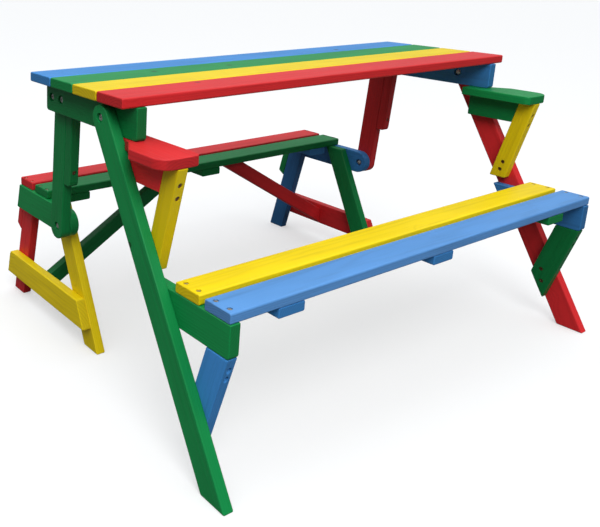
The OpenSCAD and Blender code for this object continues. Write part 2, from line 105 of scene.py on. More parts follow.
class StainSettings(bpy.types.PropertyGroup):
    """Colours and finish of the stained boards"""

    wood_blue: FloatVectorProperty(
        name="Blue", description="Colour of the blue stain", subtype="COLOR",
        default=(0.052, 0.264, 0.65), min=0.0, max=1.0)
    wood_green: FloatVectorProperty(
        name="Green", description="Colour of the green stain", subtype="COLOR",
        default=(0.005, 0.262, 0.064), min=0.0, max=1.0)
    wood_yellow: FloatVectorProperty(
        name="Yellow", description="Colour of the yellow stain", subtype="COLOR",
        default=(0.90, 0.67, 0.004), min=0.0, max=1.0)
    wood_red: FloatVectorProperty(
        name="Red", description="Colour of the red stain", subtype="COLOR",
        default=(0.68, 0.024, 0.028), min=0.0, max=1.0)
    ring_width: FloatProperty(
        name="Ring width", description="Mean width of the wood's growth rings", subtype="DISTANCE",
        default=0.0042, min=0.001, max=0.02)
    grain_depth: FloatProperty(
        name="Grain depth", description="How far the grain shows through the stain", subtype="FACTOR",
        default=0.22, min=0.0, max=1.0)
    knots: FloatProperty(
        name="Knots", description="Share of the possible places that hold a knot", subtype="FACTOR",
        default=0.42, min=0.0, max=1.0)
    sheen: FloatProperty(
        name="Sheen", description="How strongly the stain mirrors its surroundings", subtype="FACTOR",
        default=0.24, min=0.0, max=1.0)
    relief: FloatProperty(
        name="Relief", description="Height of the raised grain", subtype="DISTANCE",
        default=0.00035, min=0.0, max=0.002)
    edge_round: FloatProperty(
        name="Edge rounding", description="Width of the broken edges of the boards", subtype="DISTANCE",
        default=0.0020, min=0.0002, max=0.004)
    hole_limit: FloatProperty(
        name="Hole limit", description="Flat faces smaller than this lie in holes and keep their edges",
        subtype="DISTANCE", default=0.0165, min=0.001, max=0.05)


class FastenerSettings(bpy.types.PropertyGroup):
    """Sizes of the bolts, nuts and screws"""

    bolt_head: FloatProperty(
        name="Bolt head", description="Diameter of the bolt heads", subtype="DISTANCE",
        default=0.012, min=0.006, max=0.0145)
    bolt_shank: FloatProperty(
        name="Bolt shank", description="Diameter of the bolts", subtype="DISTANCE",
        default=0.006, min=0.003, max=0.006)
    hexagon: FloatProperty(
        name="Hexagon", description="Width of the hexagon in the bolt heads", subtype="DISTANCE",
        default=0.004, min=0.002, max=0.006)
    nut_width: FloatProperty(
        name="Nut", description="Width of the nuts across the flats", subtype="DISTANCE",
        default=0.010, min=0.006, max=0.012)
    screw_head: FloatProperty(
        name="Screw head", description="Diameter of the screw heads", subtype="DISTANCE",
        default=0.0074, min=0.004, max=0.0075)
    screw_shank: FloatProperty(
        name="Screw shank", description="Diameter of the screws", subtype="DISTANCE",
        default=0.004, min=0.002, max=0.004)
    turns: IntProperty(
        name="Sides", description="Number of steps round each fastener",
        default=24, min=12, max=96)
    zinc: FloatVectorProperty(
        name="Zinc", description="Colour of the plated bolts and nuts", subtype="COLOR",
        default=(0.58, 0.58, 0.56), min=0.0, max=1.0)
    bronze: FloatVectorProperty(
        name="Screw colour", description="Colour of the dull, dark screws", subtype="COLOR",
        default=(0.26, 0.145, 0.08), min=0.0, max=1.0)
    brass: FloatVectorProperty(
        name="Bright screw colour", description="Colour of the screws in the seats", subtype="COLOR",
        default=(0.66, 0.58, 0.44), min=0.0, max=1.0)


class StudioSettings(bpy.types.PropertyGroup):
    """Floor, lights and camera"""

    floor: FloatVectorProperty(
        name="Floor", description="Colour of the floor", subtype="COLOR",
        default=(0.56, 0.56, 0.56), min=0.0, max=1.0)
    glow: FloatProperty(
        name="Glow", description="Brightness that the floor adds of its own, so that its shadows stay pale",
        default=0.44, min=0.0, max=1.0)
    floor_radius: FloatProperty(
        name="Floor radius", description="Radius of the round floor", subtype="DISTANCE",
        default=40.0, min=2.0, max=200.0)
    shade: FloatProperty(
        name="Shade", description="How much light the floor throws back up", subtype="FACTOR",
        default=0.15, min=0.0, max=1.0)
    zenith: FloatProperty(
        name="Zenith", description="Brightness of the sky overhead",
        default=1.36, min=0.0, max=5.0)
    backdrop: FloatProperty(
        name="Backdrop", description="Brightness of the pale wall behind the table",
        default=0.64, min=0.0, max=5.0)
    key: FloatProperty(
        name="Key light", description="Power of the large light at the front left", subtype="POWER",
        default=72.0, min=0.0, max=2000.0)
    key_place: FloatVectorProperty(
        name="Key place", description="Place of the large light", subtype="TRANSLATION", unit="LENGTH",
        default=(-1.6, -2.35, 3.0))
    key_size: FloatProperty(
        name="Key size", description="Diameter of the large light", subtype="DISTANCE",
        default=2.2, min=0.1, max=10.0)
    camera_place: FloatVectorProperty(
        name="Camera", description="Place of the camera", subtype="TRANSLATION", unit="LENGTH",
        default=(-1.050, -0.953, 0.705))
    camera_azimuth: FloatProperty(
        name="Azimuth", description="Direction of the camera's view round the object", unit="ROTATION",
        default=math.radians(-31.66))
    camera_elevation: FloatProperty(
        name="Elevation", description="Height of the camera's view above the horizon", unit="ROTATION",
        default=math.radians(13.88))
    camera_roll: FloatProperty(
        name="Roll", description="Turn of the camera about its own axis", unit="ROTATION",
        default=math.radians(0.45))
    picture_width: FloatProperty(
        name="Picture width", description="Width of the picture in picture points",
        default=600.0, min=1.0)
    picture_height: FloatProperty(
        name="Picture height", description="Height of the picture in picture points",
        default=527.0, min=1.0)
    focal: FloatProperty(
        name="Focal length", description="Distance of the picture plane in picture points",
        default=732.3, min=1.0)
    axis_x: FloatProperty(
        name="Axis across", description="Where the camera's axis meets the picture, from its left edge",
        default=79.6)
    axis_y: FloatProperty(
        name="Axis down", description="Where the camera's axis meets the picture, from its top edge",
        default=134.7)


def new_object(name, data):
    """A new object in the scene, at the origin."""
    made = bpy.data.objects.new(name, data)
    bpy.context.scene.collection.objects.link(made)
    return made


# Node groups and materials

def new_group(name, inputs, outputs):
    """A shader node group with named sockets, and its input and output nodes."""
    group = bpy.data.node_groups.new(name, "ShaderNodeTree")
    for label, kind, value in inputs:
        socket = group.interface.new_socket(name=label, in_out="INPUT", socket_type=kind)
        if value is not None:
            socket.default_value = value
    for label, kind in outputs:
        group.interface.new_socket(name=label, in_out="OUTPUT", socket_type=kind)
    return group, group.nodes.new("NodeGroupInput"), group.nodes.new("NodeGroupOutput")


class Wiring:
    """Short ways to add and join nodes in one node tree."""

    def __init__(self, tree):
        self.tree = tree

    def link(self, value, socket):
        """Joins an output to a socket, or sets the socket where value is a plain number or colour."""
        if isinstance(value, bpy.types.NodeSocket):
            self.tree.links.new(value, socket)
        else:
            socket.default_value = value

    def math(self, operation, first, second=0.0, third=0.0, clamp=False):
        """The result of one operation on up to three numbers."""
        node = self.tree.nodes.new("ShaderNodeMath")
        node.operation = operation
        node.use_clamp = clamp
        for value, socket in zip((first, second, third), node.inputs):
            self.link(value, socket)
        return node.outputs[0]

    def vector(self, operation, first, second=(0.0, 0.0, 0.0), scale=1.0):
        """The result of one operation on vectors, which is a number for a length or a dot product."""
        node = self.tree.nodes.new("ShaderNodeVectorMath")
        node.operation = operation
        self.link(first, node.inputs[0])
        self.link(second, node.inputs[1])
        self.link(scale, node.inputs[3])
        return node.outputs["Value" if operation in ("LENGTH", "DOT_PRODUCT") else "Vector"]

    def noise(self, vector, detail=2.0, roughness=0.5):
        """Smooth noise from 0 to 1, with one wave to each unit of the vector."""
        node = self.tree.nodes.new("ShaderNodeTexNoise")
        self.link(vector, node.inputs["Vector"])
        node.inputs["Scale"].default_value = 1.0
        node.inputs["Detail"].default_value = detail
        node.inputs["Roughness"].default_value = roughness
        return node.outputs["Fac"]

    def ramp(self, value, low, high, to_low=0.0, to_high=1.0):
        """Eases from to_low to to_high while value goes from low to high."""
        node = self.tree.nodes.new("ShaderNodeMapRange")
        node.interpolation_type = "SMOOTHSTEP"
        for label, number in (("Value", value), ("From Min", low), ("From Max", high),
                              ("To Min", to_low), ("To Max", to_high)):
            self.link(number, node.inputs[label])
        return node.outputs["Result"]

    def mix(self, factor, first, second, blend="MIX"):
        """The first colour, with the second one laid over it as far as the factor says."""
        node = self.tree.nodes.new("ShaderNodeMix")
        node.data_type = "RGBA"
        node.blend_type = blend
        self.link(factor, node.inputs["Factor"])
        self.link(first, node.inputs[6])
        self.link(second, node.inputs[7])
        return node.outputs[2]


def softwood_group():
    """Sawn softwood seen through a stain. The position is in the board's own frame, X along the grain.

    Growth rings are cylinders about the pith: the distance from it, bent by slow noise and by knots,
    runs through a sine. Knots are the cells of a Voronoi pattern that are chosen by their colour.
    Long edges are paler where the position is near both outer faces: wear, and a painted highlight along
    them.
    """
    # Knots: cells to a metre, and the radius of the knots and of their cores in shares of a cell
    knot_cells = 12.0
    least_knot, knot_spread = 0.055, 0.06
    core_share, swell_share = 0.55, 4.0
    # How far slow waves and knots push the growth rings aside, and how narrow their dark late wood is.
    # The rings are long along the grain.
    slow_push, knot_push = 0.016, 0.010
    late_power = 2.5
    stretch = (0.02, 1.0, 1.0)
    # Waves to a metre along the grain and across it
    slow_waves = (2.2, 14.0, 14.0)
    fibre_waves = (14.0, 420.0, 420.0)
    streak_waves = (5.0, 90.0, 90.0)
    patch_waves = (6.0, 22.0, 22.0)
    # Width of the worn edges and their painted highlight, and from where to where in their noise the wear,
    # patches and streaks set in
    wear_and_highlight_width = 2.6 * MM
    wear_and_highlight_low, wear_and_highlight_high = 0.42, 0.62
    patch_low, patch_high = 0.30, 0.72
    streak_low, streak_high = 0.52, 0.80
    # How far they and the knots show in the colour, and how far late wood and fibres do
    wear_and_highlight_share, knot_share, streak_share, patch_share = 0.45, 0.82, 0.26, 0.55
    late_share, fibre_share, grain_floor = 0.75, 0.55, 0.35
    end_late_share, end_floor = 0.22, 0.30
    bare_share = 0.05
    # What late wood, knots and thin stain make of the stain, and the colour of the wood itself
    late_wood = (0.52, 0.47, 0.43, 1.0)
    knot_wood = (0.50, 0.38, 0.30, 1.0)
    thin_stain = (1.18, 1.18, 1.18, 1.0)
    bare_wood = (0.90, 0.80, 0.58, 1.0)
    # Roughness and relief
    least_rough, fibre_rough, end_rough, knot_rough = 0.36, 0.16, 0.20, -0.08
    late_height, fibre_height, knot_height = 0.35, 0.55, 0.5
    # Step in the pattern from one board to the next
    each_board = (7.3, 3.1, 5.7)

    group, inside, outside = new_group("Softwood", [
        ("Position", "NodeSocketVector", None),
        ("Pith", "NodeSocketVector", None),
        ("Half size", "NodeSocketVector", None),
        ("Seed", "NodeSocketFloat", 0.0),
        ("End grain", "NodeSocketFloat", 0.0),
        ("Stain", "NodeSocketColor", (0.5, 0.5, 0.5, 1.0)),
        ("Ring width", "NodeSocketFloat", 0.004),
        ("Grain depth", "NodeSocketFloat", 0.3),
        ("Knots", "NodeSocketFloat", 0.4),
    ], [
        ("Color", "NodeSocketColor"),
        ("Roughness", "NodeSocketFloat"),
        ("Height", "NodeSocketFloat"),
    ])
    w = Wiring(group)
    given = inside.outputs
    shifted = w.vector("ADD", given["Position"], w.vector("SCALE", each_board, scale=given["Seed"]))

    # Knots
    cells = group.nodes.new("ShaderNodeTexVoronoi")
    cells.inputs["Scale"].default_value = knot_cells
    w.link(shifted, cells.inputs["Vector"])
    pick = group.nodes.new("ShaderNodeSeparateColor")
    w.link(cells.outputs["Color"], pick.inputs[0])
    chosen = w.math("LESS_THAN", pick.outputs[0], given["Knots"])
    knot_size = w.math("MULTIPLY_ADD", pick.outputs[1], knot_spread, least_knot)
    core = w.math("MULTIPLY", knot_size, core_share)
    knot = w.math("MULTIPLY", chosen, w.ramp(cells.outputs["Distance"], core, knot_size, 1.0, 0.0))
    around = w.math("MULTIPLY", knot_size, swell_share)
    swell = w.math("MULTIPLY", chosen, w.ramp(cells.outputs["Distance"], 0.0, around, 1.0, 0.0))

    # Growth rings
    slow = w.noise(w.vector("MULTIPLY", shifted, slow_waves))
    across = w.vector("MULTIPLY", w.vector("SUBTRACT", given["Position"], given["Pith"]), stretch)
    radius = w.vector("LENGTH", across)
    radius = w.math("MULTIPLY_ADD", slow, slow_push, radius)
    radius = w.math("MULTIPLY_ADD", swell, knot_push, radius)
    turns = w.math("DIVIDE", radius, given["Ring width"])
    wave = w.math("SINE", w.math("MULTIPLY", turns, 2.0 * math.pi))
    late = w.math("POWER", w.math("MULTIPLY_ADD", wave, 0.5, 0.5), late_power)

    # Fibres, streaks, patches of thin stain, and worn edges with a painted highlight
    fibre = w.noise(w.vector("MULTIPLY", shifted, fibre_waves), detail=3.0, roughness=0.6)
    streak = w.noise(w.vector("MULTIPLY", shifted, streak_waves))
    patch = w.noise(w.vector("MULTIPLY", shifted, patch_waves))
    away = w.vector("SUBTRACT", given["Half size"], w.vector("ABSOLUTE", given["Position"]))
    split = group.nodes.new("ShaderNodeSeparateXYZ")
    w.link(away, split.inputs[0])
    near_y = w.ramp(split.outputs[1], 0.0, wear_and_highlight_width, 1.0, 0.0)
    near_z = w.ramp(split.outputs[2], 0.0, wear_and_highlight_width, 1.0, 0.0)
    wear_and_highlight = w.math("MULTIPLY", w.math("MULTIPLY", near_y, near_z), w.ramp(streak, wear_and_highlight_low, wear_and_highlight_high))

    # Colour
    grain = w.math("MULTIPLY_ADD", late, late_share, w.math("MULTIPLY", fibre, fibre_share))
    grain = w.math("MULTIPLY", w.math("SUBTRACT", grain, grain_floor), given["Grain depth"], clamp=True)
    dark = w.mix(1.0, given["Stain"], late_wood, "MULTIPLY")
    darkest = w.mix(1.0, dark, knot_wood, "MULTIPLY")
    paled = w.mix(1.0, given["Stain"], thin_stain, "MULTIPLY")
    pale = w.mix(bare_share, paled, bare_wood)
    colour = w.mix(grain, given["Stain"], dark)
    colour = w.mix(w.ramp(patch, patch_low, patch_high, 0.0, patch_share), colour, paled)
    colour = w.mix(w.ramp(streak, streak_low, streak_high, 0.0, streak_share), colour, dark)
    colour = w.mix(w.math("MULTIPLY", knot, knot_share), colour, darkest)
    # Paler long edges: wear, and a painted highlight where light would catch the rounding
    colour = w.mix(w.math("MULTIPLY", wear_and_highlight, wear_and_highlight_share), colour, pale)
    end = w.mix(w.math("MULTIPLY_ADD", late, end_late_share, end_floor), given["Stain"], dark)
    colour = w.mix(given["End grain"], colour, end)
    w.link(colour, outside.inputs["Color"])

    # Sheen and relief
    rough = w.math("MULTIPLY_ADD", fibre, fibre_rough, least_rough)
    rough = w.math("MULTIPLY_ADD", given["End grain"], end_rough, rough)
    w.link(w.math("MULTIPLY_ADD", knot, knot_rough, rough), outside.inputs["Roughness"])
    height = w.math("MULTIPLY_ADD", late, late_height, w.math("MULTIPLY", fibre, fibre_height))
    height = w.math("MULTIPLY_ADD", knot, knot_height, height)
    w.link(height, outside.inputs["Height"])
    return group


def plating_group():
    """Zinc plating: fine mottling and a few dull patches, from noise in three dimensions."""
    group, inside, outside = new_group("Zinc plating", [
        ("Position", "NodeSocketVector", None),
        ("Metal", "NodeSocketColor", (0.6, 0.6, 0.6, 1.0)),
    ], [
        ("Color", "NodeSocketColor"),
        ("Roughness", "NodeSocketFloat"),
        ("Height", "NodeSocketFloat"),
    ])
    w = Wiring(group)
    fine_waves, dull_waves = 2600.0, 420.0
    dull_low, dull_high = 0.45, 0.75
    dull_tint = (0.66, 0.62, 0.52, 1.0)
    least_rough, dull_rough = 0.22, 0.30
    fine = w.noise(w.vector("SCALE", inside.outputs["Position"], scale=fine_waves))
    dull = w.noise(w.vector("SCALE", inside.outputs["Position"], scale=dull_waves))
    tint = w.mix(1.0, inside.outputs["Metal"], dull_tint, "MULTIPLY")
    w.link(w.mix(w.ramp(dull, dull_low, dull_high), inside.outputs["Metal"], tint), outside.inputs["Color"])
    w.link(w.math("MULTIPLY_ADD", dull, dull_rough, least_rough), outside.inputs["Roughness"])
    w.link(fine, outside.inputs["Height"])
    return group


def surface(name, group, values, relief, turn=None, centre=None, metallic=0.0, sheen=0.5):
    """A material whose colour, roughness and relief come from a group, in object coordinates.

    With a turn, the position is given in a board's own frame, and its ends get end grain.
    """
    # End grain sets in and is whole at these cosines between the normal and the grain
    end_from, end_whole = 0.80, 0.93
    material = bpy.data.materials.new(name)
    material.use_nodes = True
    tree = material.node_tree
    w = Wiring(tree)
    shader = tree.nodes["Principled BSDF"]
    shader.inputs["Metallic"].default_value = metallic
    shader.inputs["Specular IOR Level"].default_value = sheen
    place = tree.nodes.new("ShaderNodeTexCoord")
    position = place.outputs["Object"]
    node = tree.nodes.new("ShaderNodeGroup")
    node.node_tree = group
    if turn is not None:
        mapping = tree.nodes.new("ShaderNodeMapping")
        mapping.vector_type = "TEXTURE"
        mapping.inputs["Location"].default_value = centre
        mapping.inputs["Rotation"].default_value = turn.to_euler()
        w.link(position, mapping.inputs["Vector"])
        position = mapping.outputs["Vector"]
        along = w.vector("DOT_PRODUCT", place.outputs["Normal"], tuple(turn.col[0]))
        w.link(w.ramp(w.math("ABSOLUTE", along), end_from, end_whole), node.inputs["End grain"])
    w.link(position, node.inputs["Position"])
    for label, value in values.items():
        node.inputs[label].default_value = value
    w.link(node.outputs["Color"], shader.inputs["Base Color"])
    w.link(node.outputs["Roughness"], shader.inputs["Roughness"])
    bump = tree.nodes.new("ShaderNodeBump")
    bump.inputs["Distance"].default_value = relief
    w.link(node.outputs["Height"], bump.inputs["Height"])
    w.link(bump.outputs["Normal"], shader.inputs["Normal"])
    return material


# Meshes as arrays

def points_of(mesh):
    """The points of a mesh, one row each."""
    points = np.empty(len(mesh.vertices) * 3, dtype=np.float32)
    mesh.vertices.foreach_get("co", points)
    return points.reshape(-1, 3)


def triangles_of(mesh):
    """The triangles of a mesh, one row of point numbers each."""
    mesh.calc_loop_triangles()
    corners = np.empty(len(mesh.loop_triangles) * 3, dtype=np.int32)
    mesh.loop_triangles.foreach_get("vertices", corners)
    return corners.reshape(-1, 3)


# Boards

def board_turn(board):
    """The turn of a board's own frame: X along its grain, Y across it, Z through its thickness.

    The faces are grouped by their normals. The group with the most area is the board's broad faces, and
    the next one its long edges. The grain runs square to both.
    """
    a, b, c = points_of(board.data)[triangles_of(board.data)].astype(float).transpose(1, 0, 2)
    normals = np.cross(b - a, c - a)
    area = np.linalg.norm(normals, axis=1)
    normals, area = normals[area > 0] / area[area > 0, None], area[area > 0]
    # Normals that look away from this side are turned round, so that opposite faces are of one kind
    one_side = np.array((1.0, 0.01, 0.0001))
    normals *= np.sign(normals @ one_side)[:, None]
    _, kind = np.unique(np.round(normals, 2), axis=0, return_inverse=True)
    kind = kind.reshape(-1)
    largest = np.argsort(np.bincount(kind, weights=area))[::-1]
    through, edge = (Vector(normals[kind == k].mean(axis=0)).normalized() for k in largest[:2])
    grain = edge.cross(through).normalized()
    return Matrix((grain, through.cross(grain), through)).transposed()


def reach(loop):
    """How far a loop of edges reaches from its first point."""
    return max((edge.verts[0].co - loop[0].verts[0].co).length for edge in loop)


def rims(region):
    """The rims of a flat region as lists of edges, the outer one first."""
    inside = set(region)
    border = dict.fromkeys(edge for face in region for edge in face.edges
                           if sum(other in inside for other in edge.link_faces) == 1)
    loops = []
    while border:
        queue = [next(iter(border))]
        del border[queue[0]]
        loop = list(queue)
        while queue:
            for vert in queue.pop().verts:
                for edge in vert.link_edges:
                    if edge in border:
                        del border[edge]
                        queue.append(edge)
                        loop.append(edge)
        loops.append(loop)
    return sorted(loops, key=reach, reverse=True)


def lies_flat(face, other):
    """Whether all points of a face lie in the plane of the other face."""
    return all(abs(other.normal.dot(vert.co - other.verts[0].co)) < FLAT for vert in face.verts)


def flat_regions(bm):
    """The faces of a mesh in groups that touch and lie in the plane of their largest face."""
    done, regions = set(), []
    for seed in sorted(bm.faces, key=lambda face: -face.calc_area()):
        if seed in done:
            continue
        done.add(seed)
        region, queue = [seed], [seed]
        while queue:
            for edge in queue.pop().edges:
                if edge.seam:
                    continue
                for other in edge.link_faces:
                    if other not in done and lies_flat(other, seed):
                        done.add(other)
                        queue.append(other)
                        region.append(other)
        regions.append(region)
    return regions


def cut_across(bm, outline, holes, grain):
    """Cuts a board across its grain through its holes, so that no flat face goes round a hole.

    A cut passes a hole where it is farthest from the corners of the outline. Holes beside each other share
    a cut.
    """
    # How far from a hole's middle a cut may pass, in shares of its length, and how many places are tried
    middle_share, tries = 0.375, 41
    rim = {vert for loop in holes for edge in loop for vert in edge.verts}
    corners = np.array([vert.co.dot(grain) for edge in outline for vert in edge.verts if vert not in rim])
    cuts = []
    for loop in holes:
        span = [vert.co.dot(grain) for edge in loop for vert in edge.verts]
        middle, inside = (max(span) + min(span)) / 2.0, middle_share * (max(span) - min(span))
        if any(abs(cut - middle) < inside for cut in cuts):
            continue
        places = middle + inside * np.linspace(-1.0, 1.0, tries)
        away = np.abs(places[:, None] - corners).min(axis=1)
        cuts.append(float(places[np.argmax(away)]))
    for place in cuts:
        everything = bm.verts[:] + bm.edges[:] + bm.faces[:]
        made = bmesh.ops.bisect_plane(
            bm, geom=everything, dist=SAME, plane_co=grain * place, plane_no=grain)
        for item in made["geom_cut"]:
            if isinstance(item, bmesh.types.BMEdge):
                item.seam = True


def eased_mesh(source, grain, settings):
    """A mesh like the source, with clean flat faces and weights on the edges that are to be broken.

    Holes keep their hard edges.
    """
    bm = bmesh.new()
    bm.from_mesh(source)
    bmesh.ops.remove_doubles(bm, verts=bm.verts, dist=SAME)
    bmesh.ops.dissolve_degenerate(bm, dist=0.1 * SAME, edges=bm.edges)
    bm.normal_update()
    weight = bm.edges.layers.float.new("bevel_weight_edge")
    loops = [rims(region) for region in flat_regions(bm)]
    loops = [found for found in loops if reach(found[0]) > settings.hole_limit]
    holes = [hole for found in loops for hole in found[1:]]
    outline = [edge for found in loops for edge in found[0]]
    for edge in outline:
        edge[weight] = 1.0
    for hole in holes:
        for edge in hole:
            edge[weight] = 0.0
    cut_across(bm, outline, holes, grain)
    for region in flat_regions(bm):
        if len(region) > 1:
            bmesh.ops.dissolve_faces(bm, faces=region, use_verts=False)
    bmesh.ops.dissolve_verts(bm, verts=[vert for vert in bm.verts if len(vert.link_edges) == 2])
    bm.normal_update()
    for edge in bm.edges:
        if edge.calc_face_angle_signed(0.0) < SHARP:
            edge[weight] = 0.0
        edge.smooth = edge[weight] > 0.0 or edge.calc_face_angle(0.0) < SHARP
        edge.seam = False
    for face in bm.faces:
        face.smooth = True
    mesh = bpy.data.meshes.new(source.name + "_eased")
    bm.to_mesh(mesh)
    bm.free()
    return mesh


def eased_board(name, turn, settings):
    """A copy of a CAD board with broken edges, which stands for it."""
    mesh = eased_mesh(frame["nodes"][name].data, turn.col[0], settings)
    board = new_object(name + "_eased", mesh)
    edge = board.modifiers.new("Broken edges", "BEVEL")
    edge.width = settings.edge_round
    edge.segments = 3
    edge.limit_method = "WEIGHT"
    edge.use_clamp_overlap = False
    even = board.modifiers.new("Flat faces", "WEIGHTED_NORMAL")
    even.keep_sharp = True
    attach(board, BODY_OF[name])
    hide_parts(name)
    return board


def finish_board(name, seed, group, settings):
    """Gives one board its broken edges and its own piece of wood.

    The colours in the settings are named after the material slots.
    """
    # The pith lies at a share of the half width from the middle, and at a depth below the board.
    # Shade and ring width stray between two shares of their value.
    pith_across, pith_depth = (-1.1, 1.1), (4.0 * MM, 45.0 * MM)
    shades, ring_widths = (0.96, 1.04), (0.8, 1.3)
    turn = board_turn(frame["nodes"][name])
    board = eased_board(name, turn, settings)
    low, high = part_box(name)
    centre = (low + high) / 2
    inside = (points_of(board.data) - np.array(centre)) @ np.array(turn)
    half = np.abs(inside).max(axis=0)
    draw = np.random.default_rng(seed)
    pith_y = draw.uniform(*pith_across) * half[1]
    pith_z = -half[2] - draw.uniform(*pith_depth)
    # Random tone times the board's listed factor, which on many boards is painted shade or painted light
    shade = draw.uniform(*shades) * TONES_AND_PAINTED_SHADE.get(name, 1.0)
    # Share of pale grey mixed into the stain, a painted reflection
    paled = PAINTED_REFLECTION.get(name, 0.0)
    stain = getattr(settings, SLOT_OF[name])
    board.data.materials.append(surface("Stained " + name.replace("_", " "), group, {
        "Pith": (0.0, pith_y, pith_z),
        "Half size": tuple(float(x) for x in half),
        "Seed": float(seed),
        "Stain": tuple(channel * shade * (1.0 - paled) + REFLECTION_GREY * paled for channel in stain) + (1.0,),
        "Ring width": settings.ring_width * draw.uniform(*ring_widths),
        "Grain depth": settings.grain_depth,
        "Knots": settings.knots,
    }, settings.relief, turn, centre, sheen=settings.sheen))


# Fasteners

def turned(rows, opening, turns):
    """A turned shape about its own Z axis as (points, faces).

    Each row is (share, radius, height): the row's radius at an angle is share times the opening's radius
    there plus the given radius. Rows go up the outside, and quads join them.
    """
    rows = np.array(rows, dtype=float)
    angle = np.linspace(0.0, 2.0 * math.pi, turns, endpoint=False)
    radius = rows[:, :1] * opening(angle)[None, :] + rows[:, 1:2]
    points = np.stack([
        radius * np.cos(angle),
        radius * np.sin(angle),
        np.repeat(rows[:, 2:3], turns, axis=1),
    ], axis=2).reshape(-1, 3)
    row, step = np.meshgrid(np.arange(len(rows) - 1), np.arange(turns), indexing="ij")
    after = (step + 1) % turns
    quads = np.stack([
        row * turns + step,
        row * turns + after,
        (row + 1) * turns + after,
        (row + 1) * turns + step,
    ], axis=2).reshape(-1, 4)
    return points, quads


def hexagon(width):
    """The radius of a regular hexagon: half its width over the cosine of the angle from the next flat."""
    sixth = math.pi / 3.0
    return lambda angle: width / 2.0 / np.cos((angle + sixth / 2.0) % sixth - sixth / 2.0)


def cross(arm, waist):
    """The radius of a cross with four rounded arms: the waist, and the whole arm where cos 4a is one."""
    return lambda angle: waist + (arm - waist) * (0.5 + 0.5 * np.cos(4.0 * angle)) ** 2


def bolt_rows(settings, length):
    """A shank, and a button head with a hexagon in it. Its bearing face is at height 0.

    The dome goes from a circle at the rim to the hexagon at the top, on a quarter of an ellipse.
    """
    head, shank = settings.bolt_head / 2.0, settings.bolt_shank / 2.0
    top, rim, socket = 3.4 * MM, 0.9 * MM, 1.6 * MM
    tip, edge, lip, taper = 0.6 * MM, 0.3 * MM, 0.15 * MM, 0.1 * MM
    dome_rows = 5
    dome = [(1.0 - t, head * t, rim + (top - rim) * math.sqrt(1.0 - t * t))
            for t in np.linspace(1.0, 0.0, dome_rows, endpoint=False)]
    return [
        (0.0, SAME, -length),
        (0.0, shank - tip, -length),
        (0.0, shank, -length + tip),
        (0.0, shank, 0.0),
        (0.0, head - edge, 0.0),
        (0.0, head, edge),
        *dome,
        (1.0, lip, top),
        (1.0, 0.0, top - lip),
        (1.0, -taper, socket),
        (0.0, SAME, socket),
    ]


def nut_rows(settings, thickness):
    """A lock nut: a hexagon with broken corners and a round collar, its bearing face at height 0.

    Its last row is its first one again, which gives the bore its wall.
    """
    play, lip = 0.05 * MM, 0.4 * MM
    corner, corner_height, first, last = 0.35 * MM, 0.25 * MM, 0.9 * MM, 0.7 * MM
    hole, flat = settings.bolt_shank / 2.0 + play, settings.nut_width / 2.0
    body = thickness * 0.68
    # The bearing face, the shoulder from hexagon to circle, and the collar from its foot to its top
    bearing = flat * 0.96
    shoulder, shoulder_circle = 0.4, flat * 0.58
    collar, collar_lip, collar_top = flat * 0.88, flat * 0.84, flat * 0.74
    return [
        (0.0, hole, 0.0),
        (0.0, bearing, 0.0),
        (1.0, -corner, corner_height),
        (1.0, 0.0, first),
        (1.0, 0.0, body - last),
        (shoulder, shoulder_circle, body),
        (0.0, collar, body),
        (0.0, collar_lip, thickness - lip),
        (0.0, collar_top, thickness),
        (0.0, hole, thickness),
        (0.0, hole, 0.0),
    ]


def screw_rows(settings, length):
    """A pointed shank and a countersunk head with a cross in it. Its top is at height 0."""
    head, shank = settings.screw_head / 2.0, settings.screw_shank / 2.0
    point, neck, cone, rim = 4.0 * MM, 2.55 * MM, 2.2 * MM, 0.4 * MM
    under, edge, edge_depth, top = 0.2 * MM, 0.08 * MM, 0.12 * MM, 0.45 * MM
    # The recess: its lip, the shares of the cross on its steep wall and near its tip, and its floor
    lip, lip_depth = 0.12 * MM, 0.1 * MM
    wall, wall_depth = 0.92, 0.5 * MM
    tip, tip_depth, floor_depth = 0.35, 1.7 * MM, 2.0 * MM
    return [
        (0.0, SAME, -length),
        (0.0, shank, -length + point),
        (0.0, shank, -neck),
        (0.0, head - under, -cone),
        (0.0, head, -rim),
        (0.0, head - edge, -edge_depth),
        (0.0, head - top, 0.0),
        (1.0, lip, 0.0),
        (1.0, 0.0, -lip_depth),
        (wall, 0.0, -wall_depth),
        (tip, 0.0, -tip_depth),
        (0.0, SAME, -floor_depth),
    ]


def separate_parts(node):
    """The points of each separate solid in a CAD node, as a list of arrays."""
    mesh = frame["nodes"][node].data
    points = points_of(mesh)
    _, same = np.unique(np.round(points, 6), axis=0, return_inverse=True)
    same = same.reshape(-1)
    triangles = same[triangles_of(mesh)]
    label = np.arange(same.max() + 1)
    while True:
        least = label[triangles].min(axis=1)
        lowered = label.copy()
        np.minimum.at(lowered, triangles.reshape(-1), np.repeat(least, 3))
        if np.array_equal(lowered, label):
            break
        label = lowered
    part = label[same]
    return [points[part == k].astype(float) for k in np.unique(part)]


def axis_of(points):
    """The long axis of a screw's or bolt's points, as (top of the head, direction to the head, length)."""
    centre = points.mean(axis=0)
    direction = np.linalg.svd(points - centre, full_matrices=False)[2][0]
    along = (points - centre) @ direction
    aside = np.linalg.norm(points - centre - np.outer(along, direction), axis=1)
    middle = (along.max() + along.min()) / 2.0
    if aside[along > middle].max() < aside[along < middle].max():
        direction = -direction
        along = -along
    return centre + direction * along.max(), direction, along.max() - along.min()


def placed(shape, direction, place):
    """A turned shape with its axis along the direction and its origin at the place."""
    points, faces = shape
    turn = np.array(Vector(direction).to_track_quat("Z", "Y").to_matrix())
    return points @ turn.T + place, faces


